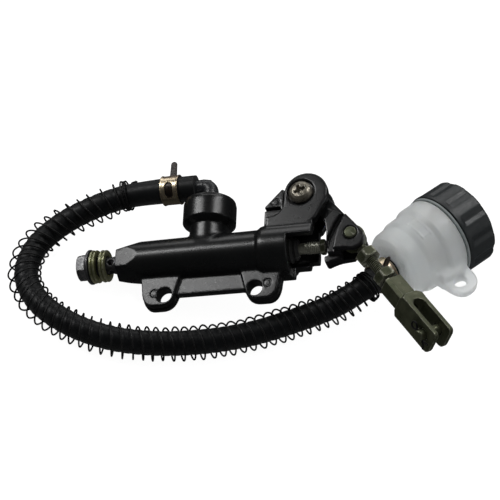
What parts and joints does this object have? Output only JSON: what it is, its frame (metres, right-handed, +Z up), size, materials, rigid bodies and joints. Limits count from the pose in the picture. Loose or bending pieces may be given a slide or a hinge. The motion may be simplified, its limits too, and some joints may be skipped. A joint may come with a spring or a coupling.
{
  "type": "brake master cylinder",
  "caption": "Rear brake master cylinder: ear-mounted cast body, rocker lever, clevis rod, banjo bolt and remote reservoir on a spring-guarded hose.",
  "frame": {"origin": "on the surface it lies on, under the middle of the box of its rigid pieces, without the hose and what is on it", "axes": "+X from the banjo bolt towards the reservoir, +Y from the clevis side towards the inlet boss, +Z up off the surface"},
  "size_m": [0.2643, 0.135, 0.0613],
  "materials": {
    "cast_paint": "satin black paint on a die casting",
    "bolt_phosphate": "dark phosphate",
    "olive_zinc": "olive zinc plating",
    "gold_zinc": "iridescent yellow zinc",
    "screw_nickel": "dark nickel",
    "hose_rubber": "matte",
    "elbow_plastic": "satin moulded",
    "guard_wire": "black oxide wire",
    "spring_steel": "bright drawn",
    "piston_aluminium": "turned",
    "milk_plastic": "translucent milky polyethylene",
    "plate_plastic": "moulded",
    "cap_plastic": "satin moulded",
    "seal_rubber": "moulded",
    "seal_grey": "moulded"
  },
  "bodies": {
    "cylinder": {"cylinder_body": "cast_paint", "banjo_bolt": "bolt_phosphate", "crush_washer_outer": "olive_zinc", "crush_washer_inner": "olive_zinc", "inlet_elbow": "elbow_plastic", "elbow_o_ring": "seal_rubber", "elbow_circlip": "spring_steel", "return_spring": "spring_steel", "retaining_ring": "spring_steel", "dust_boot": "seal_rubber", "pivot_screw": "screw_nickel", "reservoir_hose": "hose_rubber", "hose_spring_guard": "guard_wire", "hose_clamp_inlet": "gold_zinc", "hose_clamp_reservoir": "gold_zinc", "reservoir_body": "milk_plastic"},
    "plunger": {"spring_seat": "spring_steel", "primary_cup": "seal_rubber", "piston": "piston_aluminium", "secondary_cup": "seal_rubber", "pushrod": "spring_steel", "pushrod_nut": "olive_zinc"},
    "lever": {"rocker_lever": "cast_paint", "pivot_bush": "olive_zinc"},
    "lever_pin": {"lever_pin": "olive_zinc", "lever_split_pin": "guard_wire"},
    "rod": {"adjuster_rod": "olive_zinc", "lock_nut_upper": "olive_zinc", "lock_nut_lower": "olive_zinc"},
    "clevis": {"clevis_fork": "olive_zinc"},
    "clevis_pin": {"clevis_pin": "olive_zinc", "clevis_split_pin": "guard_wire"},
    "cap_plate": {"diaphragm_plate": "plate_plastic", "diaphragm": "seal_rubber"},
    "cap": {"reservoir_cap": "cap_plastic", "cap_seal_ring": "seal_grey"}
  },
  "joints": [
    {"name": "lever_swing", "type": "hinge", "parent": "cylinder", "child": "lever", "pos_m": [0.01101, 0.03556, 0.04636], "axis": [0.2605, 0.2175, -0.9406], "range_deg": [0, 14], "stiffness_Nm_per_rad": 1.2, "springref_deg": -5.73},
    {"name": "plunger_slide", "type": "slide", "parent": "cylinder", "child": "plunger", "axis": [-0.9648, 0.0946, -0.2453], "range_m": [0, 0.0069], "deforming": ["return_spring"]},
    {"name": "lever_pin_spin", "type": "hinge", "parent": "lever", "child": "lever_pin", "pos_m": [0.03549, 0.00859, 0.0469], "axis": [-0.2605, -0.2175, 0.9406], "continuous": true},
    {"name": "rod_swing", "type": "hinge", "parent": "lever", "child": "rod", "pos_m": [0.03549, 0.00859, 0.0469], "axis": [-0.2605, -0.2175, 0.9406], "range_deg": [-25, 25]},
    {"name": "clevis_turn", "type": "hinge", "parent": "rod", "child": "clevis", "pos_m": [0.05685, -0.02517, 0.04501], "axis": [0.5341, -0.8441, -0.0473], "range_deg": [-180, 180]},
    {"name": "clevis_pin_spin", "type": "hinge", "parent": "clevis", "child": "clevis_pin", "pos_m": [0.07223, -0.04949, 0.04365], "axis": [0.8061, 0.5253, -0.2726], "continuous": true},
    {"name": "cap_turn", "type": "hinge", "parent": "cap_plate", "child": "cap", "pos_m": [0.09025, 0.03333, 0.0245], "axis": [0.7771, 0.6293, 0], "range_deg": [0, 810]},
    {"name": "cap_lift", "type": "slide", "parent": "cylinder", "child": "cap_plate", "axis": [0.7771, 0.6293, 0], "range_m": [0, 0.00905]}
  ],
  "couplings": [
    {"joint": "plunger_slide", "follows": "lever_swing", "m_per_rad": 0.028},
    {"joint": "cap_lift", "follows": "cap_turn", "m_per_rad": 0.000636}
  ]
}
